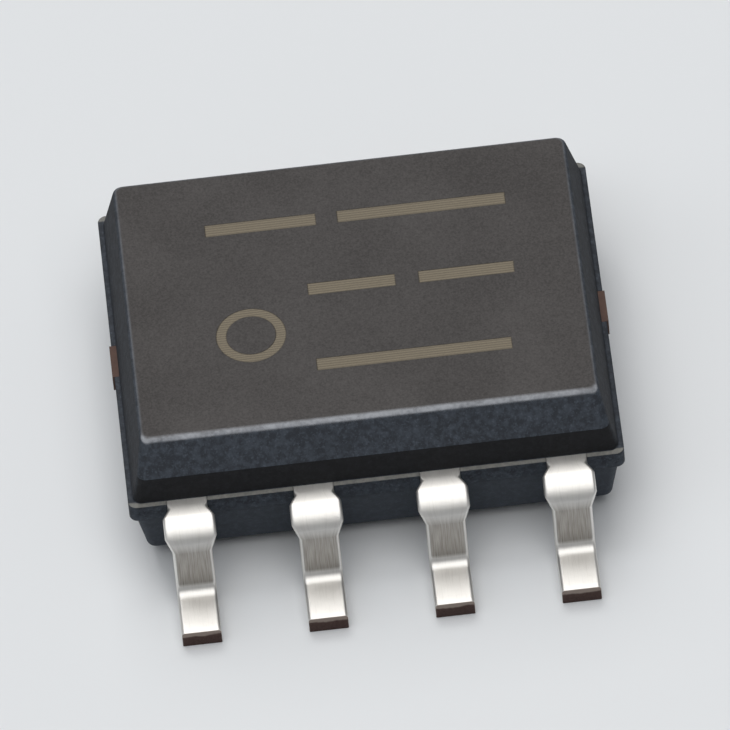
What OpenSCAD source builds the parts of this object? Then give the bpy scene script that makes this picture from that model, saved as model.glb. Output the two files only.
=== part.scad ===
// Eight-lead small-outline chip package with a 3.9 mm wide body, in millimetres.
//
// The circuit board's plane is z = 0, and the body's centre stands over the origin.
// +X runs along the body from lead 1 to lead 4, and +Z is up.
// Leads 1 to 4 are on the -Y side, below the long bevel that marks lead 1's side.
// Leads 5 to 8 come back along the +Y side, from +X to -X.
//
// A copper lead frame is stamped from one sheet: eight leads and a pad for the die.
// The die is glued to the pad, wired to the leads and sealed in a moulded body.
// The leads are then trimmed from their dam bar and bent down into gull wings.

/* [Moulded body] */
// Length of both halves where they meet
body_len = 4.88; // [4.7:0.01:7]
// Width of both halves where they meet
body_wid = 3.8; // [3.4:0.01:6]
// Height of the body, from its underside to its top
body_h = 1.4; // [1.25:0.01:2.4]
// Height of the lower half, from the underside up to the lead frame
lower_h = 0.62; // [0.5:0.01:0.75]
// How far the parting band stands out all round
band_out = 0.05; // [0.02:0.01:0.1]
// Width and height of the long bevel over leads 1 to 4
bevel = 0.29; // [0.05:0.01:0.42]
// Draft of the front wall, under the bevel, in degrees
front_draft = 10; // [3:1:15]
// Draft of the back wall, in degrees
back_draft = 7; // [3:1:15]
// Draft of the two end walls, in degrees
end_draft = 14; // [3:1:18]
// Draft of all four walls of the lower half, in degrees
lower_draft = 9; // [3:1:15]
// Radius of the upright corners
corner_r = 0.09; // [0.02:0.01:0.2]
// Radius of the edges round the top and the underside
edge_r = 0.045; // [0.01:0.005:0.08]
// Width of the scar that the gate leaves under the band, at the +X end
gate_w = 0.7; // [0.3:0.05:1.2]
// Height of the gate's scar
gate_h = 0.08; // [0.02:0.01:0.15]
// Diameter of the ejector pin's mark in the underside
ejector_d = 0.9; // [0.3:0.1:1.6]
// Depth of the ejector pin's mark
ejector_depth = 0.03; // [0.01:0.01:0.08]

/* [Leads] */
// Distance between neighbouring leads
pitch = 1.27; // [1:0.01:1.3]
// Width of a lead
lead_w = 0.4; // [0.3:0.01:0.5]
// Thickness of the lead frame's sheet
sheet = 0.2; // [0.13:0.01:0.25]
// Reach of a lead, from the parting band to its toe
reach = 1.05; // [0.9:0.01:1.6]
// Gap between the body's underside and the circuit board
standoff = 0.15; // [0.05:0.01:0.3]
// Level stretch of a lead, from the parting band to its first bend
shoulder = 0.15; // [0.1:0.01:0.25]
// Radius inside the upper bend
upper_bend = 0.1; // [0.06:0.01:0.15]
// Radius inside the lower bend
lower_bend = 0.12; // [0.06:0.01:0.17]
// Slope of the riser between the bends, in degrees
riser = 84; // [70:1:89]
// How far the stubs that the trimmed dam bar leaves stand out from a lead's sides
stub_out = 0.06; // [0.02:0.01:0.09]
// Where the stubs begin, measured from the parting band
stub_start = 0.06; // [0.03:0.01:0.1]
// How far round the upper bend the stubs reach, in degrees
stub_turn = 80; // [55:1:82]
// Slope of a stub's corners: how far they run along the sheet for their height
stub_slope = 1.8; // [0.5:0.1:2.5]

/* [Fingers inside the body] */
// Clearance between any two stamped pieces of the lead frame
stamp_gap = 0.2; // [0.12:0.01:0.25]
// Width of the anchoring head on the four middle fingers
head_w = 0.62; // [0.5:0.01:0.8]
// Length of the anchoring head
head_len = 0.28; // [0.2:0.01:0.4]
// Width of the tab on the four corner fingers
tab_w = 0.68; // [0.6:0.01:0.8]
// Length of the tab, along the body's width
tab_len = 0.8; // [0.6:0.01:0.95]
// Diameter of the anchoring hole in each tab
anchor_d = 0.28; // [0.15:0.01:0.35]

/* [Die pad] */
// Length of the pad
pad_len = 2.3; // [1.9:0.01:2.8]
// Width of the pad
pad_wid = 1.9; // [1.6:0.01:2.2]
// How far the pad lies below the fingers
downset = 0.15; // [0.05:0.01:0.25]
// Slope of the tie bars down to the pad, in degrees
tie_slope = 40; // [30:1:60]
// Width of the two tie bars
tie_w = 0.41; // [0.2:0.01:0.45]
// How far the cut end of a tie bar stands proud of the parting band
tie_proud = 0.02; // [0:0.01:0.05]

/* [Die] */
// Length of the silicon die
die_len = 1.5; // [1:0.01:1.8]
// Width of the silicon die
die_wid = 1.2; // [0.8:0.01:1.5]
// Thickness of the silicon die
die_t = 0.28; // [0.15:0.01:0.35]
// Thickness of the glue under the die
glue_t = 0.025; // [0.01:0.005:0.05]
// How far the glue reaches out past the die
glue_out = 0.06; // [0.02:0.01:0.12]

/* [Bond wires] */
// Diameter of the gold wire
wire_d = 0.025; // [0.018:0.001:0.038]
// Diameter of the ball that is bonded to the die
ball_d = 0.07; // [0.05:0.005:0.09]
// Height of the ball
ball_h = 0.02; // [0.01:0.002:0.03]
// Height of a wire's loop above the die
loop_h = 0.16; // [0.08:0.01:0.2]
// Distance of the bonds from the edge of the die
die_inset = 0.1; // [0.06:0.01:0.15]
// Distance of the bonds from the end of a finger
finger_inset = 0.12; // [0.08:0.01:0.14]
// Distance between the two bonds at each end of the die
end_bonds = 0.44; // [0.3:0.01:0.7]
// Distance between the two bonds along each side of the die
side_bonds = 0.8; // [0.4:0.01:1]

/* [Hidden] */
LEADS = 8;

RESIN = "#2b2b2d";
TIN = "#d9d6cf";
COPPER = "#b87350";
GLUE = "#c8c8cc";
SILICON = "#5f6670";
GOLD = "#d9b24a";

$fn = 48;
corner_steps = 9; // flats round an upright corner
edge_steps = 5; // flats round the top and bottom edges
wire_sides = 8; // flats round a bond wire
wire_steps = 9; // stretches along a bond wire's loop
loop_lean = 0.35; // how far along its span a loop is drawn before it falls
ball_side = 0.6; // the part of a ball's height that stands upright
// The stitch past a wire's last full ring, as [distance, half width, half height] in radii
STITCH = [[1.5, 1.5, 0.5], [4, 1.8, 0.2]];
far = 20; // longer than any piece, for cutting shapes

// Levels
body_z = standoff; // underside of the body
frame_z = body_z + lower_h; // underside of the lead frame, and of the parting band
split_z = frame_z + sheet; // top of the lead frame, and of the parting band
top_z = body_z + body_h;
pad_z = frame_z - downset; // underside of the pad
glue_z = pad_z + sheet;
die_z = glue_z + glue_t;
die_top = die_z + die_t;

// Plan
band_x = body_len / 2 + band_out;
band_y = body_wid / 2 + band_out;
toe_y = band_y + reach;
middle_x = pitch / 2; // leads 2, 3, 6 and 7
corner_x = 3 * pitch / 2; // leads 1, 4, 5 and 8
head_y = pad_wid / 2 + stamp_gap; // tips of the middle fingers
tab_y = tie_w / 2 + stamp_gap; // tips of the corner fingers
tab_x = pad_len / 2 + stamp_gap; // side of a corner finger's tab that faces the pad

// ---------- Leads ----------

// Extrudes a side view across the leads: its x is the distance out from the parting band,
// and its y is the height over the underside of the lead frame.
module across() {
    translate([far / 2, band_y, frame_z]) rotate([90, 0, -90]) mirror([1, 0, 0])
        linear_extrude(far) children();
}

// A flat ring sector that starts on the +Y axis and turns clockwise by an angle.
module bend_section(inner, angle) {
    wedge = [[0, 0], [0, far], [far * sin(angle), far], far * [sin(angle), cos(angle)]];
    intersection() {
        difference() {
            circle(inner + sheet);
            circle(inner);
        }
        polygon(wedge);
    }
}

// The lead seen from its side: out from inside the body, down, and out again to the toe.
module side_section() {
    bends = upper_bend + lower_bend + sheet; // the two radii, each taken mid-sheet
    slant = (frame_z - bends * (1 - cos(riser))) / sin(riser);
    run = bends * sin(riser) + slant * cos(riser);
    translate([-band_y, 0]) square([band_y + shoulder, sheet]);
    translate([shoulder, -upper_bend]) {
        bend_section(upper_bend, riser);
        rotate(-riser) translate([0, upper_bend]) square([slant, sheet]);
    }
    translate([shoulder + run, lower_bend + sheet - frame_z]) rotate(180) {
        bend_section(lower_bend, riser);
    }
    translate([shoulder + run, -frame_z]) square([reach - shoulder - run, sheet]);
}

// The space that the stubs of a lead on the Y axis may fill: seen from above an eight-sided
// patch across the lead, cut off square to the sheet where the stubs end in the upper bend.
module stub_space() {
    slope = stub_out * stub_slope;
    slope_turn = stub_turn - slope / (upper_bend + sheet / 2) * 180 / PI;
    near = band_y + stub_start;
    bend_y = band_y + shoulder;
    corner = bend_y + (upper_bend + sheet) * sin(slope_turn);
    end = bend_y + (upper_bend + sheet) * sin(stub_turn);
    narrow = lead_w / 2;
    wide = narrow + stub_out;
    outline = [
        [narrow, near], [wide, near + slope], [wide, corner], [narrow, end],
        [-narrow, end], [-wide, corner], [-wide, near + slope], [-narrow, near]
    ];
    intersection() {
        linear_extrude(top_z) polygon(outline);
        across() translate([shoulder, -upper_bend]) {
            polygon([[0, 0], far * [sin(stub_turn), cos(stub_turn)], [-far, far], [-far, 0]]);
        }
    }
}

// A middle lead seen from above, pointing along +Y: it ends in an anchoring head.
module middle_plan() {
    translate([middle_x, 0]) {
        translate([-lead_w / 2, head_y]) square([lead_w, toe_y - head_y]);
        translate([-head_w / 2, head_y]) square([head_w, head_len]);
    }
}

// A corner lead seen from above, pointing along +Y: its tab lies beside the pad's end.
module corner_plan() {
    difference() {
        union() {
            translate([corner_x - lead_w / 2, tab_y]) square([lead_w, toe_y - tab_y]);
            translate([tab_x, tab_y]) square([tab_w, tab_len]);
        }
        translate([tab_x + tab_w / 2, tab_y + tab_len / 2]) circle(d = anchor_d);
    }
}

// Puts a shape drawn for the +X +Y quarter where lead i is.
module at_lead(i) {
    on_front = i <= LEADS / 2;
    column = on_front ? i : LEADS + 1 - i;
    mirror([column <= LEADS / 4 ? 1 : 0, 0, 0])
    mirror([0, on_front ? 1 : 0, 0]) children();
}

function is_corner(i) = i == 1 || i == LEADS / 2 || i == LEADS / 2 + 1 || i == LEADS;

// One lead: the bent sheet, trimmed to its outline from above and to its stubs.
module lead(i) {
    color(TIN) at_lead(i) intersection() {
        across() side_section();
        union() {
            linear_extrude(top_z) {
                if (is_corner(i)) corner_plan(); else middle_plan();
            }
            translate([is_corner(i) ? corner_x : middle_x, 0, 0]) stub_space();
        }
    }
}

// ---------- Die pad ----------

// One tie bar seen from its side: level at the frame, then sloping down to the pad.
module tie_section() {
    shift = sheet * tan(tie_slope / 2);
    foot = pad_len / 2;
    knee = foot + downset / tan(tie_slope);
    end = band_x + tie_proud;
    polygon([
        [0, pad_z], [foot + shift, pad_z], [knee + shift, frame_z], [end, frame_z],
        [end, split_z], [knee, split_z], [foot, glue_z], [0, glue_z]
    ]);
}

// The pad and its two tie bars, pressed from one strip of the sheet.
module die_pad() {
    color(COPPER) {
        translate([-pad_len / 2, -pad_wid / 2, pad_z]) cube([pad_len, pad_wid, sheet]);
        for (side = [0, 1]) {
            mirror([side, 0, 0]) translate([0, tie_w / 2, 0]) rotate([90, 0, 0])
                linear_extrude(tie_w) tie_section();
        }
    }
}

// ---------- Die ----------

module plate(size, z) {
    translate([-size.x / 2, -size.y / 2, z]) cube(size);
}

module die_glue() {
    color(GLUE) plate([die_len + 2 * glue_out, die_wid + 2 * glue_out, glue_t], glue_z);
}

module silicon_die() {
    color(SILICON) plate([die_len, die_wid, die_t], die_z);
}

// ---------- Bond wires ----------

// Faces of a tube whose rings are listed one after the other, closed at both ends.
function tube_faces(rings, sides) = concat(
    [[for (k = [0:sides - 1]) k]],
    [for (r = [0:rings - 2], k = [0:sides - 1])
        let (a = r * sides + k, b = r * sides + (k + 1) % sides) [a, a + sides, b]],
    [for (r = [0:rings - 2], k = [0:sides - 1])
        let (a = r * sides + k, b = r * sides + (k + 1) % sides) [b, a + sides, b + sides]],
    [[for (k = [sides - 1:-1:0]) (rings - 1) * sides + k]]
);

// A ring round [run, height], leaning by an angle, with its half width and half height.
// Its lowest side is a flat one, so that a bond lies flat on what carries it.
function wire_ring(run, height, lean, wide, high) = [
    for (k = [0:wire_sides - 1])
        let (a = (k + 0.5) * 360 / wire_sides, flat = cos(180 / wire_sides))
        let (across = wide * cos(a) / flat, up = high * sin(a) / flat)
        [run - up * sin(lean), across, height + up * cos(lean)]
];

// A point at t on the cubic curve with these four control values.
function cubic(c, t) = c[0] * pow(1 - t, 3) + c[1] * 3 * t * pow(1 - t, 2)
    + c[2] * 3 * t * t * (1 - t) + c[3] * t * t * t;

// The direction of that curve at t, not to scale.
function cubic_slope(c, t) = (c[1] - c[0]) * pow(1 - t, 2)
    + (c[2] - c[1]) * 2 * t * (1 - t) + (c[3] - c[2]) * t * t;

// A ball on the die, a loop that leaves it upright, and a stitch pressed flat on the finger.
module wire_shape(from, to) {
    r = wire_d / 2;
    gap = to - from;
    span = norm(gap);
    neck = die_top + ball_h;
    landing = split_z + r;
    crest = (8 * (die_top + loop_h) - neck - landing) / 6; // halfway, the curve is at loop_h
    run_curve = [0, 0, loop_lean * span, span];
    height_curve = [neck, crest, crest, landing];
    ball = [
        wire_ring(0, die_top, 90, ball_d / 2, ball_d / 2),
        wire_ring(0, die_top + ball_side * ball_h, 90, ball_d / 2, ball_d / 2),
        wire_ring(0, neck, 90, r, r)
    ];
    loop = [
        for (s = [1:wire_steps])
            let (t = s / wire_steps)
            let (lean = atan2(cubic_slope(height_curve, t), cubic_slope(run_curve, t)))
            wire_ring(cubic(run_curve, t), cubic(height_curve, t), lean, r, r)
    ];
    stitch = [
        for (s = STITCH)
            wire_ring(span + s.x * r, split_z + s.z * r, 0, s.y * r, s.z * r)
    ];
    rings = concat(ball, loop, stitch);
    translate([from.x, from.y, 0]) rotate(atan2(gap.y, gap.x))
        polyhedron([for (ring = rings, p = ring) p], tube_faces(len(rings), wire_sides));
}

// One bond wire, from the die to the finger of lead i.
module bond_wire(i) {
    from = is_corner(i)
        ? [die_len / 2 - die_inset, end_bonds / 2]
        : [side_bonds / 2, die_wid / 2 - die_inset];
    to = is_corner(i)
        ? [tab_x + finger_inset, tab_y + finger_inset]
        : [middle_x, head_y + finger_inset];
    color(GOLD) at_lead(i) wire_shape(from, to);
}

// ---------- Moulded body ----------

// One level of the body: a rectangle with round corners, from -x to x and from front to back.
function level(z, x, front, back, r) = [
    for (q = [0:3], k = [0:corner_steps])
        let (a = 90 * (q + k / corner_steps))
        [(q == 0 || q == 3 ? x - r : r - x) + r * cos(a),
         (q < 2 ? back - r : r - front) + r * sin(a),
         z]
];

// The lower half at a depth under the parting band, pulled in by its rounded bottom edge.
function lower_level(depth, pull) =
    let (inset = depth * tan(lower_draft) + pull)
    level(frame_z - depth, body_len / 2 - inset, body_wid / 2 - inset,
          body_wid / 2 - inset, corner_r);

// The upper half at a height over the parting band, pulled in by its rounded top edge.
// The front wall steps back by the bevel as well, over the last part of the height.
function upper_level(height, pull) =
    let (over = max(0, height - (top_z - split_z - bevel)))
    let (front = (height - over) * tan(front_draft) + over)
    level(split_z + height, body_len / 2 - height * tan(end_draft) - pull,
          body_wid / 2 - front - pull, body_wid / 2 - height * tan(back_draft) - pull,
          corner_r);

// The outside of the moulding: two drafted halves that meet in the parting band.
module body_shell() {
    upper_h = top_z - split_z;
    turns = [for (k = [0:edge_steps]) 90 * k / edge_steps];
    rings = concat(
        [for (k = [edge_steps:-1:0])
            lower_level(lower_h - edge_r * (1 - sin(turns[k])), edge_r * (1 - cos(turns[k])))],
        [
            lower_level(0, 0),
            level(frame_z, band_x, band_y, band_y, corner_r),
            level(split_z, band_x, band_y, band_y, corner_r),
            upper_level(0, 0),
            upper_level(upper_h - bevel, 0)
        ],
        [for (k = [0:edge_steps])
            upper_level(upper_h - edge_r * (1 - sin(turns[k])), edge_r * (1 - cos(turns[k])))]
    );
    polyhedron([for (ring = rings, p = ring) p], tube_faces(len(rings), len(rings[0])));
}

// What is left of the gate, broken off level with the band: a wedge with a slanted underside.
module gate_scar() {
    inside = body_len / 2 - corner_r - band_out; // well behind the lower half's wall
    translate([0, gate_w / 2, 0]) rotate([90, 0, 0]) linear_extrude(gate_w) polygon([
        [inside, frame_z], [band_x, frame_z],
        [band_x, frame_z - gate_h], [inside, frame_z - gate_h - (band_x - inside)]
    ]);
}

// The body fills every space round what it seals in, down to the holes in the tabs.
module moulded_body() {
    color(RESIN) difference() {
        union() {
            body_shell();
            gate_scar();
        }
        translate([0, 0, body_z - ejector_depth]) cylinder(d = ejector_d, h = 2 * ejector_depth);
        die_pad();
        die_glue();
        silicon_die();
        for (i = [1:LEADS]) {
            lead(i);
            bond_wire(i);
        }
    }
}

moulded_body();
die_pad();
die_glue();
silicon_die();
for (i = [1:LEADS]) {
    lead(i);
    bond_wire(i);
}
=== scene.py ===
# %% [markdown]
# # A small-outline chip, seen up close
#
# The object is an eight-lead surface-mount chip, six millimetres across its toes. A black
# epoxy moulding seals in a stamped copper lead frame, a silicon die and its gold wires. The
# tinned leads come out of the two long sides and bend down into gull wings.
#
# The packed model is loaded first and stays as it is: every size and place below comes from
# it. This file gives each piece its finish, bends the leads again as smooth surfaces, and
# adds a floor, soft lamps and a camera.

import math

import bmesh
import bpy
import numpy as np
from mathutils import Matrix, Vector
from mathutils.bvhtree import BVHTree


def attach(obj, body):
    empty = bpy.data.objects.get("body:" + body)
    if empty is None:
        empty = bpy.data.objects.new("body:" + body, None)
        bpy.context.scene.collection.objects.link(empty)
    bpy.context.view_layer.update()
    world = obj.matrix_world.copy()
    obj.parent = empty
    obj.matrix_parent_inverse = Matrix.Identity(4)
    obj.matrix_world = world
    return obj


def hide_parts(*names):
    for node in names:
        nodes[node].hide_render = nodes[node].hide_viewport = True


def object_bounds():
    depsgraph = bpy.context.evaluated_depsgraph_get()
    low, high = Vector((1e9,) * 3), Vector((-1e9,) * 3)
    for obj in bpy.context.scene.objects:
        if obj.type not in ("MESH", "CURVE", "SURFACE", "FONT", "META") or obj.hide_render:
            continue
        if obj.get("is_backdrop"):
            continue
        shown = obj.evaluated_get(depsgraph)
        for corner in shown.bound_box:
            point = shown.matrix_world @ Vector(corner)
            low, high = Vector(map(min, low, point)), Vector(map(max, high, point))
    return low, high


MM = 0.001  # one millimetre in Blender's metres

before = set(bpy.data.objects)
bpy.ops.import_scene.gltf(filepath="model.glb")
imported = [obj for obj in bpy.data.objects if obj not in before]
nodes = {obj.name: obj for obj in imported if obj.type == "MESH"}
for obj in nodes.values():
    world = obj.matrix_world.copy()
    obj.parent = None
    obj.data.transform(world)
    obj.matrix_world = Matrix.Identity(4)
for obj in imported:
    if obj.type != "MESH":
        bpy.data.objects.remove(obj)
cad_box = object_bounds()
LEADS = sorted(name for name in nodes if name.startswith("lead_"))
WIRES = sorted(name for name in nodes if name.startswith("bond_wire_"))
print("pieces:", len(nodes), "leads:", len(LEADS), "bond wires:", len(WIRES))
print("size in mm:", [round(side / MM, 3) for side in cad_box[1] - cad_box[0]])

# %% [markdown]
# ## Writing shader maths as sums
#
# A procedural finish is mostly arithmetic on coordinates: where a band starts, how strong a
# grain is. The nodes could be placed by hand in the shader editor, or added one after another
# in code, but both hide that arithmetic. Here a small class wraps a socket, and the usual
# operators add the Math nodes, so a mask reads like a formula. Every other node comes from
# one method of the same sheet.
#
# A sheet's coordinates are in millimetres, so that a size in a finish is the size on the chip.


# %% A number that varies over a surface
class Field:
    """A number that varies over a surface: one output socket that arithmetic works on."""

    def __init__(self, sheet, socket):
        self.sheet = sheet
        self.socket = socket

    def maths(self, operation, *others):
        """Adds one Math node, with this field as its first input."""
        settings = {"operation": operation}
        inputs = dict(enumerate((self, *others)))
        return self.sheet.node("ShaderNodeMath", settings, inputs)

    def __add__(self, other):
        return self.maths("ADD", other)

    __radd__ = __add__

    def __mul__(self, other):
        return self.maths("MULTIPLY", other)

    __rmul__ = __mul__

    def __sub__(self, other):
        return self.maths("SUBTRACT", other)

    def __rsub__(self, other):
        return (self * -1) + other

    def __abs__(self):
        return self.maths("ABSOLUTE")

    def clamp(self):
        """The same numbers, cut off under 0 and over 1."""
        return self.sheet.node("ShaderNodeClamp", {}, {0: self})

    def over(self, edge, soft):
        """0 under an edge and 1 over it, changing across a soft width."""
        return ((self - edge) * (1 / soft) + 0.5).clamp()

    def between(self, low, high, soft):
        """1 from low to high and 0 outside, with both edges soft."""
        return self.over(low, soft) * (1 - self.over(high, soft))

    def root(self):
        """The square root."""
        return self.maths("SQRT")


print("a field's methods:", [name for name in vars(Field) if not name.startswith("_")])


# %% A sheet of shader nodes
class Sheet:
    """The node sheet of one material, with coordinates in millimetres."""

    def __init__(self, name):
        self.material = bpy.data.materials.new(name)
        self.material.use_nodes = True
        self.tree = self.material.node_tree
        self.tree.nodes.clear()
        metres = self.node("ShaderNodeTexCoord", {}, {}, "Object")
        self.place = self.stretched(*(1 / MM,) * 3, metres)
        self.x, self.y, self.z = self.parts(self.place)
        facing = self.node("ShaderNodeNewGeometry", {}, {}, "Normal")
        self.nx, self.ny, self.nz = self.parts(facing)

    def node(self, kind, settings, inputs, output=0):
        """Adds one node: its settings, then its inputs' values or links, then one output."""
        made = self.tree.nodes.new(kind)
        for name, value in settings.items():
            setattr(made, name, value)
        for name, value in inputs.items():
            if isinstance(value, Field):
                self.tree.links.new(value.socket, made.inputs[name])
            else:
                made.inputs[name].default_value = value
        return Field(self, made.outputs[output]) if made.outputs else None

    def parts(self, vector):
        """The three components of a vector."""
        first = self.node("ShaderNodeSeparateXYZ", {}, {0: vector})
        outputs = first.socket.node.outputs
        return [Field(self, outputs[axis]) for axis in range(3)]

    def stretched(self, x, y, z, place):
        """Coordinates with each axis multiplied by its own number."""
        return self.node("ShaderNodeMapping", {}, {"Vector": place, "Scale": (x, y, z)})

    def noise(self, size, detail=3.0, rough=0.5, place=None):
        """Cloudy noise from 0 to 1 whose largest blobs are about size millimetres."""
        inputs = {"Vector": place or self.place, "Scale": 1 / size}
        inputs.update({"Detail": detail, "Roughness": rough})
        return self.node("ShaderNodeTexNoise", {}, inputs, "Fac")

    def cells(self, size):
        """The distance to the nearest cell centre, for cells about size millimetres."""
        inputs = {"Vector": self.place, "Scale": 1 / size}
        return self.node("ShaderNodeTexVoronoi", {}, inputs, "Distance")

    def stripes(self, value, spacing):
        """Rises and falls between 0 and 1 once in each spacing along a value."""
        return value.maths("PINGPONG", spacing / 2) * (2 / spacing)

    def mix(self, factor, first, second):
        """A colour between two colours."""
        settings = {"data_type": "RGBA"}
        return self.node("ShaderNodeMix", settings, {0: factor, 6: first, 7: second}, 2)

    def soft_edges(self, radius):
        """The surface's normal, turned near sharp edges as if they were rounded."""
        inputs = {"Radius": radius * MM}
        return self.node("ShaderNodeBevel", {"samples": 6}, inputs)

    def bump(self, height, depth, under):
        """A normal raised by a height from 0 to 1 that stands for depth millimetres."""
        inputs = {"Height": height, "Distance": depth * MM, "Strength": 1.0, "Normal": under}
        return self.node("ShaderNodeBump", {}, inputs)

    def finish(self, inputs):
        """Ends the sheet in one Principled surface, and gives the material."""
        surface = self.node("ShaderNodeBsdfPrincipled", {}, inputs)
        self.node("ShaderNodeOutputMaterial", {}, {"Surface": surface})
        print(self.material.name, "has", len(self.tree.nodes), "shader nodes")
        return self.material


trial = Sheet("trial")
print("a new sheet starts with", [made.name for made in trial.tree.nodes])
bpy.data.materials.remove(trial.material)

# %% [markdown]
# ### Colours
#
# A colour that is picked on a screen is stored as three numbers up to 255, which are spaced
# as the eye sees them. Shaders reckon with amounts of light, where a middle grey is about a
# fifth of white. A colour picker would convert them, and here one function does.


# %% Colours as they show
def rgb(red, green, blue):
    """A colour given as it shows on a screen, from 0 to 255, as the linear one that shaders use."""
    screen = np.array([red, green, blue]) / 255
    linear = np.where(screen <= 0.04045, screen / 12.92, ((screen + 0.055) / 1.055) ** 2.4)
    return (*[float(value) for value in linear], 1.0)


print("a grey that shows as 128 is", round(rgb(128, 128, 128)[0], 3), "in a shader")


# %% [markdown]
# ## Measuring the model
#
# The new surfaces have to lie exactly where the packed pieces do. Their sizes could be typed
# in again, but then they would drift apart when the model changes. A node's place is in its
# mesh, so a few questions to its corners give what the leads need: how high the shoulder
# lies, where the foot lies flat and how thick the sheet is.


# %% Measure the leads
def corners(name):
    """All corners of a node's mesh, in millimetres, one in a row."""
    mesh = nodes[name].data
    flat = np.empty(len(mesh.vertices) * 3)
    mesh.vertices.foreach_get("co", flat)
    return flat.reshape(-1, 3) / MM


TOUCH = 0.0001  # corners closer than this to a level lie on it

body = corners("moulded_body")
BAND_X, BAND_Y = np.abs(body[:, 0]).max(), np.abs(body[:, 1]).max()
TOP_Z = body[:, 2].max()

sample = corners("lead_2")
from_middle = np.abs(sample[:, 1])
foot = sample[sample[:, 2] < TOUCH]
HALF_WIDTH = np.ptp(foot[:, 0]) / 2
TOE_Y = from_middle.max()
FOOT_Y = np.abs(foot[:, 1]).min()
SPLIT_Z = sample[:, 2].max()  # top of the shoulder, where the two halves of the mould met
SHEET = sample[from_middle > TOE_Y - TOUCH][:, 2].max()
STUB_HALF = np.ptp(sample[from_middle > BAND_Y][:, 0]) / 2

print("band at x", round(BAND_X, 3), "and y", round(BAND_Y, 3))
print("shoulder at height", round(SPLIT_Z, 3), "foot from", round(FOOT_Y, 3), "to", round(TOE_Y, 3))
print("sheet", round(SHEET, 3), "width", round(2 * HALF_WIDTH, 3), "stubs", round(2 * STUB_HALF, 3))

# %% [markdown]
# ## Carrying an outline along a path
#
# A lead is one strip of sheet bent twice, so its surface is the outline of a cut through the
# strip, carried along the strip's middle line. A curve object with a bevel shape would do
# that too, but it can't change the strip's width on the way, nor keep its thickness round a
# tight bend. Here each place on the line gives one ring of points, all rings are worked out
# as one array, and this cell joins them into a closed mesh.
#
# A mesh can be checked by the volume that it encloses, which comes out negative where its
# faces point inwards. So a cube with sides of 1 mm, made the same way, has to give 1.


# %% Turn rings of points into a mesh
def skin(name, rings, around_mm, along_mm):
    """A closed mesh over rings of points in millimetres, with the shape (ring, point, 3).

    Neighbouring rings are joined by four-sided faces, and the first and last rings are each
    closed by one flat face. The UV map named sheet holds millimetres: around_mm says how far
    round the outline each point lies, closing point included, and along_mm how far along.
    """
    count, around = rings.shape[:2]
    ring, point = np.meshgrid(np.arange(count - 1), np.arange(around), indexing="ij")
    steps = [(0, 0), (1, 0), (1, 1), (0, 1)]
    faces = np.stack([(ring + a) * around + (point + b) % around for a, b in steps], axis=-1)
    first = list(range(around))
    last = [(count - 1) * around + index for index in reversed(first)]
    mesh = bpy.data.meshes.new(name)
    places = (rings.reshape(-1, 3) * MM).tolist()
    mesh.from_pydata(places, [], faces.reshape(-1, 4).tolist() + [first, last])
    mesh.shade_smooth()
    sides = np.stack([[around_mm[point + b], along_mm[ring + a]] for a, b in steps], axis=-1)
    ends = np.zeros((2 * around, 2))
    unrolled = np.concatenate([np.moveaxis(sides, 0, -1).reshape(-1, 2), ends])
    mesh.uv_layers.new(name="sheet").uv.foreach_set("vector", unrolled.ravel().astype(np.float32))
    return mesh


def enclosed(mesh):
    """The volume inside a mesh in cubic millimetres, negative where its faces point inwards."""
    measured = bmesh.new()
    measured.from_mesh(mesh)
    volume = measured.calc_volume(signed=True) / MM**3
    measured.free()
    return volume


square = np.array([(0, 0, 0), (1, 0, 0), (1, 0, 1), (0, 0, 1)])
cube = skin("cube", np.stack([square, square + [0, 1, 0]]), np.arange(5), np.arange(2))
print("a cube made this way has", len(cube.polygons), "faces, volume", round(enclosed(cube), 3))
bpy.data.meshes.remove(cube)

# %% [markdown]
# ## The leads
#
# Each lead is stamped from a copper sheet and plated with matte tin. The punch leaves the
# upper edges rolled over and the lower ones sharp. A bar once held all leads together; it
# was cut away and left stubs that make the shoulder wider. Forming then bent the strip, and
# the last cut took the toes off, so only there the copper is bare.
#
# The packed leads are exact but plain, with sharp edges. A Bevel modifier on a copy would
# round all edges alike and trip over the stubs. Making the strip again gives each edge its
# own radius, and a map that runs along the metal for the lines in its finish.
#
# The middle line is worked out from how far it has turned: level, turning down, straight,
# turning back, level. The foot and the height of the shoulder are measured, so the length of
# the shoulder is what is left.

# %% The strip's middle line
UPPER_RADIUS = 0.1  # inside the upper bend
LOWER_RADIUS = 0.12  # inside the lower bend
RISER = math.radians(84)
STUB_START = 0.06  # from the band
STUB_TURN = math.radians(80)  # how far round the upper bend the stubs reach
STUB_SLOPE = 1.8  # how far a stub's corner runs for its height
HIDDEN = 0.1  # how far the visible strip reaches into the body
CUT = 0.012  # radius round the toe's cut face

upper_mid, lower_mid = UPPER_RADIUS + SHEET / 2, LOWER_RADIUS + SHEET / 2
drop = SPLIT_Z - SHEET
slant = (drop - (upper_mid + lower_mid) * (1 - math.cos(RISER))) / math.sin(RISER)
run = (upper_mid + lower_mid) * math.sin(RISER) + slant * math.cos(RISER)
shoulder = FOOT_Y - run - BAND_Y
stretches = [
    HIDDEN + shoulder,
    upper_mid * RISER,
    slant,
    lower_mid * RISER,
    TOE_Y - FOOT_Y - CUT,
]
stops = np.concatenate([[0], np.cumsum(stretches)])
turn_at_stops = [0, 0, RISER, RISER, 0, 0]

stub_rise = STUB_HALF - HALF_WIDTH
stub_near, stub_end = HIDDEN + STUB_START, stops[1] + upper_mid * STUB_TURN
slope = stub_rise * STUB_SLOPE
stub_stops = [stub_near, stub_near + slope, stub_end - slope, stub_end]
stub_shape = [0, stub_rise, stub_rise, 0]

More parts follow.
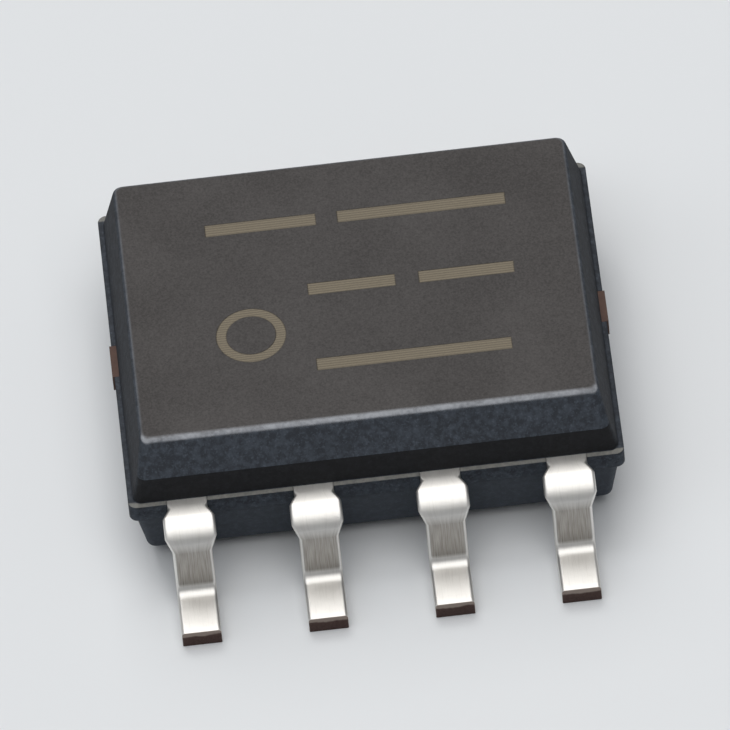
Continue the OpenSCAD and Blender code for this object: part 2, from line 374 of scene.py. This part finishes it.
steps_per_stretch = [10, 24, 6, 24, 10]
divided = [
    np.linspace(start, end, steps)
    for start, end, steps in zip(stops[:-1], stops[1:], steps_per_stretch)
]
along = np.unique(np.round(np.concatenate([*divided, stub_stops]), 6))
print("shoulder", round(shoulder, 3), "mm, whole strip", round(along[-1] + CUT - HIDDEN, 3), "mm")


# %% Where the middle line runs
def bent_path(start, level, along, turned):
    """How far out and how high the middle line is at each place along it.

    turned is the angle under the horizontal. Between two places the line is an arc, whose
    chord is its length times sin(half) / half, where half is half the angle that it turns,
    and the chord lies at the mean of its two angles.
    """
    half, mean = np.diff(turned) / 2, (turned[:-1] + turned[1:]) / 2
    chord = np.diff(along) * np.sinc(half / np.pi)
    out = start + np.concatenate([[0], np.cumsum(chord * np.cos(mean))])
    high = level - np.concatenate([[0], np.cumsum(chord * np.sin(mean))])
    return out, high


turned = np.interp(along, stops, turn_at_stops)
half_widths = HALF_WIDTH + np.interp(along, stub_stops, stub_shape, left=0, right=0)
out, high = bent_path(BAND_Y - HIDDEN, SPLIT_Z - SHEET / 2, along, turned)
print("foot's middle line at", round(high[-1], 4), "of", round(SHEET / 2, 4), "mm")

# %% [markdown]
# ### The strip's outline
#
# The outline is a rectangle with an arc in each corner, wide arcs above and tight ones below.
# Its half width follows the stubs. Near the body its corners are sharp, because the epoxy was
# moulded round them, and at the toe it shrinks along a quarter circle, which closes the end.

# %% The toe's rounded end
END_STEPS = 4
end_turn = np.linspace(0, np.pi / 2, END_STEPS + 1)[1:]
end_out, inset = CUT * np.sin(end_turn), CUT * (1 - np.cos(end_turn))
along = np.concatenate([along, along[-1] + end_out])
out = np.concatenate([out, out[-1] + end_out])
high = np.concatenate([high, np.full(END_STEPS, high[-1])])
turned = np.concatenate([turned, np.zeros(END_STEPS)])
half_widths = np.concatenate([half_widths, np.full(END_STEPS, HALF_WIDTH)])
inset = np.concatenate([np.zeros(len(along) - END_STEPS), inset])
print("toe at", round(out[-1], 4), "of", round(TOE_Y, 4), "mm")

# %% The strip's outline
ROLLED = 0.035  # radius of the upper edges
SHARP = 0.012  # radius of the lower edges
ARC_STEPS = 6
SUPPORT = 0.008  # one more point this far from each arc keeps the flats flat


def strip_outline():
    """The corners of the strip's outline, each an arc between two points on the flats.

    A point lies at side times the half width across and at up times the half thickness, plus
    an offset that grows with the corner's radius: radius times (cosine - side) across and
    radius times (sine - up) in height. The points on the flats lie along the arc's tangents.
    """
    side, up, across, rise = [], [], [], []
    for quarter, (right, top) in enumerate([(1, 1), (-1, 1), (-1, -1), (1, -1)]):
        radius = ROLLED if top > 0 else SHARP
        angle = (np.linspace(0, 1, ARC_STEPS + 1) + quarter) * np.pi / 2
        angle = np.concatenate([angle[:1], angle, angle[-1:]])
        tangent = np.zeros(len(angle))
        tangent[0], tangent[-1] = -SUPPORT, SUPPORT
        side.append(np.full(len(angle), right))
        up.append(np.full(len(angle), top))
        across.append(radius * (np.cos(angle) - right) - tangent * np.sin(angle))
        rise.append(radius * (np.sin(angle) - top) + tangent * np.cos(angle))
    return [np.concatenate(part) for part in (side, up, across, rise)]


side, up, across, rise = strip_outline()
ends_x = np.append(side, side[0]) * HALF_WIDTH + np.append(across, across[0])
ends_z = np.append(up, up[0]) * SHEET / 2 + np.append(rise, rise[0])
round_mm = np.concatenate([[0], np.cumsum(np.hypot(np.diff(ends_x), np.diff(ends_z)))])
print("points round the strip:", len(side), "perimeter", round(round_mm[-1], 3), "mm")

# %% [markdown]
# ### One whole lead
#
# Each ring is the outline, moved to its place on the middle line and tilted by how far the
# line has turned there. Inside the body the lead goes on as a flat finger of another shape.
# Nobody sees it, so it isn't made again: a copy of the packed lead is cut off just inside the
# band, and a narrow seam of new faces sews its finger to the strip. Two meshes that only
# touch would look the same from outside, but a lead is one piece of metal.

# %% Carry the outline along the line
RELEASE = 0.05  # how far from the band the corners take their full radius
HELD = 0.15  # share of the radius that they have in the epoxy

moulded_in = np.clip((along - HIDDEN) / RELEASE, HELD, 1)
shift = side * (half_widths - inset)[:, None] + across * moulded_in[:, None]
lift = up * (SHEET / 2 - inset)[:, None] + rise * moulded_in[:, None]
strip = np.stack(
    [
        shift,
        out[:, None] + lift * np.sin(turned)[:, None],
        high[:, None] + lift * np.cos(turned)[:, None],
    ],
    axis=-1,
)
print("rings:", strip.shape[0], "points in each:", strip.shape[1])


# %% Join the finger and the strip
SEAM = 0.02  # length of the seam between the finger and the strip


def finger(name, way_out):
    """The hidden part of a packed lead, cut off just inside the band, and its open rim."""
    part = bmesh.new()
    part.from_mesh(nodes[name].data)
    bmesh.ops.remove_doubles(part, verts=part.verts, dist=TOUCH * MM)
    cut = bmesh.ops.bisect_plane(
        part,
        geom=part.verts[:] + part.edges[:] + part.faces[:],
        plane_co=(0, way_out * (BAND_Y - HIDDEN - SEAM) * MM, 0),
        plane_no=(0, way_out, 0),
        clear_outer=True,
    )
    return part, [edge for edge in cut["geom_cut"] if isinstance(edge, bmesh.types.BMEdge)]


def formed_lead(name):
    """The finger and the bent strip of one lead, sewn together in one closed mesh."""
    places = corners(name)
    way_out = math.copysign(1, places[:, 1].sum())
    foot_x = places[places[:, 2] < TOUCH][:, 0]
    middle = (foot_x.min() + foot_x.max()) / 2
    # a half turn about the upright axis puts the strip on the -Y side
    placed = strip * [way_out, way_out, 1] + [middle, 0, 0]
    bent = skin(name + "_formed", placed, round_mm, along)
    part, rim = finger(name, way_out)
    part.from_mesh(bent)
    ends = [face for face in part.faces if len(face.verts) == strip.shape[1]]
    hidden_end = min(ends, key=lambda face: abs(face.calc_center_median().y))
    seam = rim + list(hidden_end.edges)
    bmesh.ops.delete(part, geom=[hidden_end], context="FACES_ONLY")
    bmesh.ops.bridge_loops(part, edges=seam)
    part.to_mesh(bent)
    part.free()
    return bent


formed = {name: formed_lead(name) for name in LEADS}
for name, mesh in formed.items():
    print(name, len(mesh.polygons), "faces,", round(enclosed(mesh), 4), "cubic mm")

# %% [markdown]
# ## Tin
#
# Matte tin is a soft, pale metal with a very fine grain, so it reflects broadly and looks
# almost white where it faces the light. The rolled sheet's lines run along each strip, and
# the riser, which faces out, is darkened with painted shade, streaked along those lines.
# Where the toe was cut, the punch first sheared the copper and drew tin over its upper edge,
# and then tore the rest.
#
# Pictures of metal would need a map of every face and show their own light. Noise that is
# long along the strip and narrow across it gives the same lines at any distance.


# %% Tinned copper
SHEARED = 0.72  # share of the sheet over which the toe's cut is torn, under the drawn tin


def tinned_copper():
    """Pale tin with painted shade streaked on the riser, and bare copper where the toe was cut."""
    sheet = Sheet("matte_tin")
    strip = sheet.node("ShaderNodeUVMap", {"uv_map": "sheet"}, {})
    drawn = sheet.noise(1.0, 2.0, 0.5, sheet.stretched(1 / 0.012, 1 / 0.3, 1.0, strip))
    grain = sheet.noise(0.012, 3.0, 0.6)
    cloud = sheet.noise(0.2, 3.0, 0.55)
    tin = sheet.mix(cloud, rgb(222, 220, 216), rgb(238, 236, 232))
    tin = sheet.mix(drawn.over(0.62, 0.2) * 0.2, tin, rgb(186, 183, 178))
    # painted shade: the riser, which faces out, is darkened and streaked along the drawn lines
    riser_shade = abs(sheet.ny).over(0.94, 0.1)
    tin = sheet.mix(riser_shade * (0.35 + drawn * 0.6), tin, rgb(112, 106, 99))

    cut = abs(sheet.y).over(TOE_Y - 0.004, 0.004)
    smeared = sheet.z.over(SHEET * SHEARED + (cloud - 0.5) * 0.08, 0.02)
    torn = sheet.noise(0.03, 3.0, 0.6)
    copper = sheet.mix(torn, rgb(60, 47, 46), rgb(100, 82, 76))
    face = sheet.mix(smeared, copper, rgb(150, 138, 130))
    colour = sheet.mix(cut, tin, face)

    rough = 0.37 + grain * 0.1 + cloud * 0.06 + cut * 0.15
    height = grain * 0.6 + drawn * 0.4 + cut * torn * 3
    normal = sheet.bump(height, 0.0015, sheet.soft_edges(0.01))
    return sheet.finish(
        {"Base Color": colour, "Metallic": 1.0, "Roughness": rough, "Normal": normal}
    )


# %% Put the leads in place
def show(name, mesh, material, stands_for):
    """Puts a finished mesh in the scene in the place of one packed piece."""
    mesh.materials.append(material)
    piece = bpy.data.objects.new(name, mesh)
    bpy.context.collection.objects.link(piece)
    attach(piece, "root")
    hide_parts(stands_for)


def farthest(points, mesh):
    """How far the farthest of some points lies from a mesh's surface, in millimetres."""
    shape = bmesh.new()
    shape.from_mesh(mesh)
    surface = BVHTree.FromBMesh(shape)
    shape.free()
    return max(surface.find_nearest(Vector(point) * MM)[3] for point in points) / MM


tin = tinned_copper()
for name, mesh in formed.items():
    show(name + "_formed", mesh, tin, name)

gap = farthest(sample, formed["lead_2"])
print("the packed lead's corners lie within", round(gap, 3), "mm of the new surface")

# %% [markdown]
# ## Copper and gold
#
# The die pad keeps its packed shape, and so do the wires: both are sealed in, and only the
# cut ends of the pad's tie bars show, at the two end faces. Cut copper tarnishes within days,
# so the ends are brown and half dull, while the sealed copper stays bright. The ends could
# get a material of their own, but a mask that starts near the end face keeps the pad in one.
# The wires are drawn gold, the smoothest metal here.


# %% Bare copper and gold
BAR_END = 0.08  # how far in from the end face the tie bars are tarnished


def bare_copper():
    """Bright copper, tarnished where the tie bars were cut off."""
    sheet = Sheet("copper_sheet")
    grain = sheet.noise(0.02, 3.0, 0.6)
    cloud = sheet.noise(0.15, 3.0, 0.55)
    sawn = abs(sheet.x).over(BAND_X - BAR_END, 0.01)
    fresh = sheet.mix(cloud, rgb(150, 98, 78), rgb(190, 132, 104))
    dull = sheet.mix(cloud, rgb(66, 50, 46), rgb(100, 76, 66))
    colour = sheet.mix(sawn, fresh, dull)
    normal = sheet.bump(grain, 0.002, sheet.soft_edges(0.01))
    rough = 0.38 + grain * 0.2 + sawn * 0.15
    metal = 1 - sawn * 0.5
    return sheet.finish(
        {"Base Color": colour, "Metallic": metal, "Roughness": rough, "Normal": normal}
    )


def gold_wire():
    """Smooth gold with a trace of the drawing die."""
    sheet = Sheet("drawn_gold")
    grain = sheet.noise(0.006, 2.0, 0.5)
    colour = sheet.mix(grain, rgb(226, 178, 82), rgb(246, 206, 120))
    return sheet.finish({"Base Color": colour, "Metallic": 1.0, "Roughness": 0.2 + grain * 0.1})


def paint(names, material):
    """Puts one material on packed nodes."""
    for name in names:
        mesh = nodes[name].data
        mesh.materials.clear()
        mesh.materials.append(material)
    print(material.name, "on", len(names), "node(s)")


paint(["die_pad"], bare_copper())
paint(WIRES, gold_wire())

# %% [markdown]
# ## The laser's marks
#
# A laser marks a chip by burning away its black skin, in passes side by side, so the marks
# are shallow and show the paler glass in the epoxy. Here they are plain bars and a ring, with
# no lettering. They could be cut into the mesh, but they are only a hundredth of a millimetre
# deep, so a mask in the material's coordinates gives their colour and their depth at once.

# %% The laser's marks
BAR = 0.15  # height of a bar
ROWS = [  # each row's middle, and where its bars start and end
    (1.08, [(-1.42, -0.3), (-0.08, 1.62)]),
    (0.16, [(-0.46, 0.42), (0.66, 1.62)]),
    (-0.84, [(-0.46, 1.5)]),
]
RING_PLACE, RING_RADIUS, RING_LINE = (-1.08, -0.36), 0.3, 0.1
LINE_SPACING = 0.03  # from one pass of the laser to the next
BURRED = 0.012  # how soft an edge the laser leaves


def laser_marks(sheet):
    """1 where the laser burnt the top, and 0 elsewhere."""
    marks = None
    for middle, bars in ROWS:
        row = sheet.y.between(middle - BAR / 2, middle + BAR / 2, BURRED)
        for start, end in bars:
            bar = row * sheet.x.between(start, end, BURRED)
            marks = bar if marks is None else marks + bar
    across, down = sheet.x - RING_PLACE[0], sheet.y - RING_PLACE[1]
    radius = (across * across + down * down).root()
    ring = radius.between(RING_RADIUS - RING_LINE / 2, RING_RADIUS + RING_LINE / 2, BURRED)
    return (marks + ring) * sheet.z.over(TOP_Z - 0.01, 0.005)


print("marks:", sum(len(bars) for _, bars in ROWS), "bars and a ring")

# %% [markdown]
# ## Painted highlights and the broken gate
#
# Three places on the body are paler than the rest. Along the edge round the top a highlight
# is painted, strongest in front, where the bevel makes the edge stand out, and the edge is
# smoother there. A highlight is painted on the ledge between the leads too. Under one tie bar
# the epoxy broke off at the gate, through which it was pressed into the mould.
#
# An edge is found by its normal: the Bevel node turns the normal near an edge as if the edge
# were round, so the turned normal's height says how far round the edge a place lies. The
# Geometry node's Pointiness finds edges too, but only as finely as the mesh is divided, and
# the packed body has large plain faces.


# %% Where the body is paler
EDGE_TILTS = 0.79, 0.95  # height of the turned normal where the painted edge highlight starts and ends
EDGE_DEPTH = 0.1  # how far under the top the edge can lie
LEDGE_WIDTH = 0.07
GATE_HALF, GATE_DEPTH = 0.35, 0.06  # half the width of the gate, and how far in it broke


def painted_edge_highlight(sheet, rounded):
    """1 along the edge round the top, strongest in front, where a highlight is painted."""
    leans_y, leans_z = sheet.parts(rounded)[1:]
    edge_highlight = leans_z.between(*EDGE_TILTS, 0.07) * sheet.z.over(TOP_Z - EDGE_DEPTH, 0.02)
    return edge_highlight * (1 - leans_y.over(-0.15, 0.2) * 0.75)


def painted_ledge_highlight(sheet):
    """1 on the level ledge along both long sides, where a highlight is painted."""
    ledge = sheet.z.between(SPLIT_Z - 0.02, SPLIT_Z + 0.02, 0.01) * sheet.nz.over(0.9, 0.1)
    return ledge * abs(sheet.y).over(BAND_Y - LEDGE_WIDTH, 0.02)


def broken_gate(sheet):
    """1 where the gate broke off."""
    gate = sheet.x.over(BAND_X - GATE_DEPTH, 0.01) * (1 - abs(sheet.y).over(GATE_HALF, 0.02))
    return gate * (1 - sheet.z.over(SPLIT_Z - SHEET, 0.006))


print("the gate is", 2 * GATE_HALF, "mm wide and ends at height", round(SPLIT_Z - SHEET, 3))

# %% [markdown]
# ## The moulding
#
# The body is black epoxy filled with fine glass. Its mould is spark-eroded, which leaves a
# matte, mottled grain on every face, finest on the top. The bevel and the lower half look
# slate blue, and the steep wall between them is darkened with painted shade, most in front.
#
# These zones could be separate materials on sorted faces, but then each border would be a
# hard line. Here one material covers the packed body, and soft masks come from the height
# and the tilt of each face.


# %% Moulding compound
EDGE_RADIUS = 0.03  # how round the mould left the body's edges
GRAIN_DEPTH = 0.006


def moulding_compound():
    """Black epoxy: fine on top, mottled on the walls, with its marks and the broken gate, painted
    highlights on the top edge and the ledge, and painted shade on the upper wall.
    """
    sheet = Sheet("black_epoxy")
    top = sheet.nz.over(0.9, 0.1) * sheet.z.over(TOP_Z - 0.05, 0.01)
    steep = 1 - abs(sheet.nz).over(0.4, 0.1)
    front = 1 - sheet.ny.over(-0.5, 0.3)
    # upper: the steep wall above the ledge, where shade is painted, most in front
    upper = steep * sheet.z.over(SPLIT_Z + 0.01, 0.01) * (0.6 + front * 0.4)
    lower = steep * (1 - sheet.z.over(SPLIT_Z - 0.2, 0.2))

    fine = sheet.noise(0.02, 4.0, 0.6)
    coarse = sheet.noise(0.045, 3.0, 0.55)
    broad = sheet.noise(0.9, 2.0, 0.5)
    grain = fine * 0.45 + coarse * 0.55
    mottle = sheet.noise(0.07, 2.0, 0.6).over(0.55, 0.3)
    speck = sheet.noise(0.022, 1.0, 0.5).over(0.66, 0.2) * 0.5 + mottle * 0.5
    shade = (grain * 0.5 + broad * 0.5).clamp()
    wall = sheet.mix(shade, rgb(23, 27, 33), rgb(42, 48, 57))
    wall = sheet.mix(speck * 0.5, wall, rgb(90, 100, 113))
    # painted shade: the steep upper wall is darkened, most in front
    wall = sheet.mix(upper * 0.9, wall, rgb(8, 7, 9))
    wall = sheet.mix(lower * 0.6, wall, rgb(68, 74, 82))
    sparkle = ((fine - 0.5) * 2.4 + broad).clamp()
    face = sheet.mix(sparkle, rgb(48, 45, 44), rgb(75, 72, 71))
    colour = sheet.mix(top, wall, face)

    rounded = sheet.soft_edges(EDGE_RADIUS)
    edge_highlight = painted_edge_highlight(sheet, rounded)
    patchy = sheet.noise(0.25, 2.0, 0.5).over(0.5, 0.4)
    # painted highlight along the edge round the top, strongest in front
    colour = sheet.mix(edge_highlight * (coarse + patchy * 0.5).clamp(), colour, rgb(158, 161, 167))
    # painted highlight on the level ledge between the leads
    colour = sheet.mix(painted_ledge_highlight(sheet) * (0.2 + coarse), colour, rgb(136, 135, 129))
    colour = sheet.mix(broken_gate(sheet) * (0.3 + coarse * 0.8), colour, rgb(92, 92, 96))
    marks = laser_marks(sheet)
    passes = sheet.stripes(sheet.y + coarse * 0.006, LINE_SPACING)
    burnt = sheet.mix(passes * 0.6 + fine * 0.4, rgb(94, 87, 75), rgb(136, 126, 108))
    colour = sheet.mix(marks, colour, burnt)

    rough = 0.6 + grain * 0.2 - speck * 0.08 + marks * 0.12 + steep * 0.15 - edge_highlight * 0.24
    height = grain * (1 - top * 0.35) - marks * (1.6 + passes * 0.6)
    normal = sheet.bump(height, GRAIN_DEPTH, rounded)
    return sheet.finish(
        {"Base Color": colour, "Roughness": rough, "Normal": normal, "Specular IOR Level": 0.4}
    )


paint(["moulded_body"], moulding_compound())

# %% [markdown]
# ## The die and its glue
#
# Nothing of the inside shows from outside, but every sealed piece keeps a finish of its own,
# so that a cut-away view looks right. The die is polished silicon under clear oxide, which
# gives it a cold sheen, and it has one aluminium pad under each wire's ball. The glue that
# holds it is resin filled with silver flakes, which the edges of small cells stand for.
#
# The pads could be eight more pieces, but they are only a thousandth of a millimetre thick,
# so they are squares in the die's material. Their places are measured from the wires.

# %% Find the balls of the wires
DIE_TOP = corners("silicon_die")[:, 2].max()


def ball(name):
    """The middle of the round face where a wire sits on the die, in millimetres."""
    wire = corners(name)
    seat = wire[np.abs(wire[:, 2] - DIE_TOP) < TOUCH]
    return (seat.min(axis=0) + seat.max(axis=0)) / 2


BALLS = np.array([ball(name)[:2] for name in WIRES])
print("the balls sit at", BALLS.round(2).tolist())


# %% Silicon and silver glue
PAD_HALF = 0.05  # half the side of an aluminium pad
TRACK = 0.03  # from one track of the circuit to the next
ETCHED = 0.004  # how soft the edge of a pad is


def silver_glue():
    """Resin full of silver flakes."""
    sheet = Sheet("silver_resin")
    flake = sheet.cells(0.02).over(0.4, 0.3)
    colour = sheet.mix(flake, rgb(196, 196, 200), rgb(150, 150, 154))
    return sheet.finish({"Base Color": colour, "Metallic": 0.6, "Roughness": 0.45 + flake * 0.2})


def silicon():
    """A polished die with its tracks, and a pad of bare aluminium under each wire."""
    sheet = Sheet("polished_silicon")
    pads = None
    for x, y in BALLS.tolist():
        pad = sheet.x.between(x - PAD_HALF, x + PAD_HALF, ETCHED)
        pad = pad * sheet.y.between(y - PAD_HALF, y + PAD_HALF, ETCHED)
        pads = pad if pads is None else pads + pad
    upper = sheet.nz.over(0.9, 0.1)
    block = sheet.cells(0.3).over(0.45, 0.02)
    tracks = sheet.stripes(sheet.x, TRACK).over(0.5, 0.2) * block
    tracks = tracks + sheet.stripes(sheet.y, TRACK).over(0.5, 0.2) * (1 - block)
    cloud = sheet.noise(0.2, 3.0, 0.5)
    colour = sheet.mix(cloud, rgb(86, 92, 108), rgb(110, 104, 122))
    colour = sheet.mix(tracks * upper * 0.5, colour, rgb(150, 138, 120))
    colour = sheet.mix(pads * upper, colour, rgb(212, 212, 214))
    rough = 0.15 + cloud * 0.1 + pads * 0.15
    return sheet.finish({"Base Color": colour, "Metallic": 0.7, "Roughness": rough})


paint(["die_glue"], silver_glue())
paint(["silicon_die"], silicon())

# %% [markdown]
# ## The stage
#
# The chip stands on a plain pale floor, as under a shop's light tent. A picture of a studio
# could light it, but square lamps say plainly what each one is for, and metal shows each as
# a soft bright patch. A large one hangs over the chip and a little in front, and fills the
# upper bends of the leads. A second lies where a level surface mirrors the camera's view, so
# that the top and the feet stand out from the walls. A weak cool one on the left lights the
# end wall, and the room is dim, so the walls stay dark.


# %% Floor
def pale_floor():
    sheet = Sheet("pale_floor")
    cloud = sheet.noise(30.0, 2.0, 0.5)
    colour = sheet.mix(cloud, rgb(222, 225, 228), rgb(227, 229, 231))
    return sheet.finish({"Base Color": colour, "Roughness": 0.9 + cloud * 0.05})


def flat_square(name, side, material):
    """A level square of one face in metres, centred on the origin."""
    places = np.array([(-1, -1, 0), (1, -1, 0), (1, 1, 0), (-1, 1, 0)]) * side / 2
    mesh = bpy.data.meshes.new(name)
    mesh.from_pydata(places.tolist(), [], [(0, 1, 2, 3)])
    mesh.materials.append(material)
    piece = bpy.data.objects.new(name, mesh)
    bpy.context.collection.objects.link(piece)
    return piece


floor = flat_square("floor", 4.0, pale_floor())
floor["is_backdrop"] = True
print("floor", floor.dimensions.x, "m wide")


# %% Lamps and room
WARM, WHITE, COOL = (1.0, 0.985, 0.965), (1.0, 0.99, 0.975), (0.93, 0.96, 1.0)
ROOM_LIGHT = 0.22  # how bright the dim room is, against 1 for white


def lamp(name, azimuth, elevation, distance, side, radiance, colour):
    """A soft square lamp that faces the chip, with its brightness given as radiance."""
    around, up = math.radians(azimuth), math.radians(elevation)
    level = Vector((math.sin(around), math.cos(around), 0)) * math.cos(up)
    away = level + Vector((0, 0, math.sin(up)))
    data = bpy.data.lights.new(name, "AREA")
    data.size = side
    data.energy = radiance * math.pi * side * side
    data.color = colour
    piece = bpy.data.objects.new(name, data)
    piece.location = away * distance
    piece.rotation_euler = away.to_track_quat("Z", "Y").to_euler()
    bpy.context.collection.objects.link(piece)
    print(name, "energy", round(data.energy, 3), "W")


lamp("back_lamp", -8, 50, distance=0.5, side=0.34, radiance=2.85, colour=WARM)
lamp("top_lamp", 180, 78, distance=0.5, side=0.56, radiance=1.6, colour=WHITE)
lamp("left_lamp", -100, 45, distance=0.6, side=0.35, radiance=0.9, colour=COOL)

room = bpy.data.worlds.new("room")
bpy.context.scene.world = room
room.use_nodes = True
light = room.node_tree.nodes["Background"].inputs
light["Color"].default_value = (*COOL, 1.0)
light["Strength"].default_value = ROOM_LIGHT
print("room", ROOM_LIGHT, "of white")

# %% [markdown]
# ## The camera
#
# The camera looks down on the front leads from afar through a long lens, so the long sides
# stay nearly parallel. It is also rolled a few degrees, which makes the front edge climb to
# the right. A Track To constraint could aim it, but would keep it upright, so here its three
# axes are worked out: from the direction it looks in, then turned by the roll. Together they
# are the columns of its turn.

# %% Camera
ELEVATION, YAW, ROLL = math.radians(49.4), math.radians(1.0), math.radians(5.7)
AIM = Vector((0.03, -0.12, 0.62)) * MM
DISTANCE = 0.143  # metres
LENS, SENSOR = 700, 36  # millimetres

level = Vector((math.sin(YAW), math.cos(YAW), 0))
forward = level * math.cos(ELEVATION) - Vector((0, 0, math.sin(ELEVATION)))
right = forward.cross(Vector((0, 0, 1))).normalized()
above = right.cross(forward)
image_right = right * math.cos(ROLL) - above * math.sin(ROLL)
image_up = right * math.sin(ROLL) + above * math.cos(ROLL)

camera_data = bpy.data.cameras.new("camera")
camera_data.lens = LENS
camera_data.sensor_width = SENSOR
camera_data.clip_start = 0.01
camera_data.clip_end = 10
camera = bpy.data.objects.new("camera", camera_data)
bpy.context.collection.objects.link(camera)
bpy.context.scene.camera = camera
turn = Matrix((image_right, image_up, -forward)).transposed()
camera.matrix_world = Matrix.Translation(AIM - forward * DISTANCE) @ turn.to_4x4()
print("camera at", [round(value / MM, 1) for value in camera.matrix_world.translation], "mm")

bpy.context.scene.view_settings.view_transform = "Standard"

# %% [markdown] ## Measuring The new surfaces must not make the chip
# larger than the packed model, so both boxes are printed.

# %% Measure and finish
boxes = {"cad": cad_box, "visual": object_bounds()}
for name, (low, high) in boxes.items():
    print(name, "from", [round(x / MM, 4) for x in low], "to", [round(x / MM, 4) for x in high])
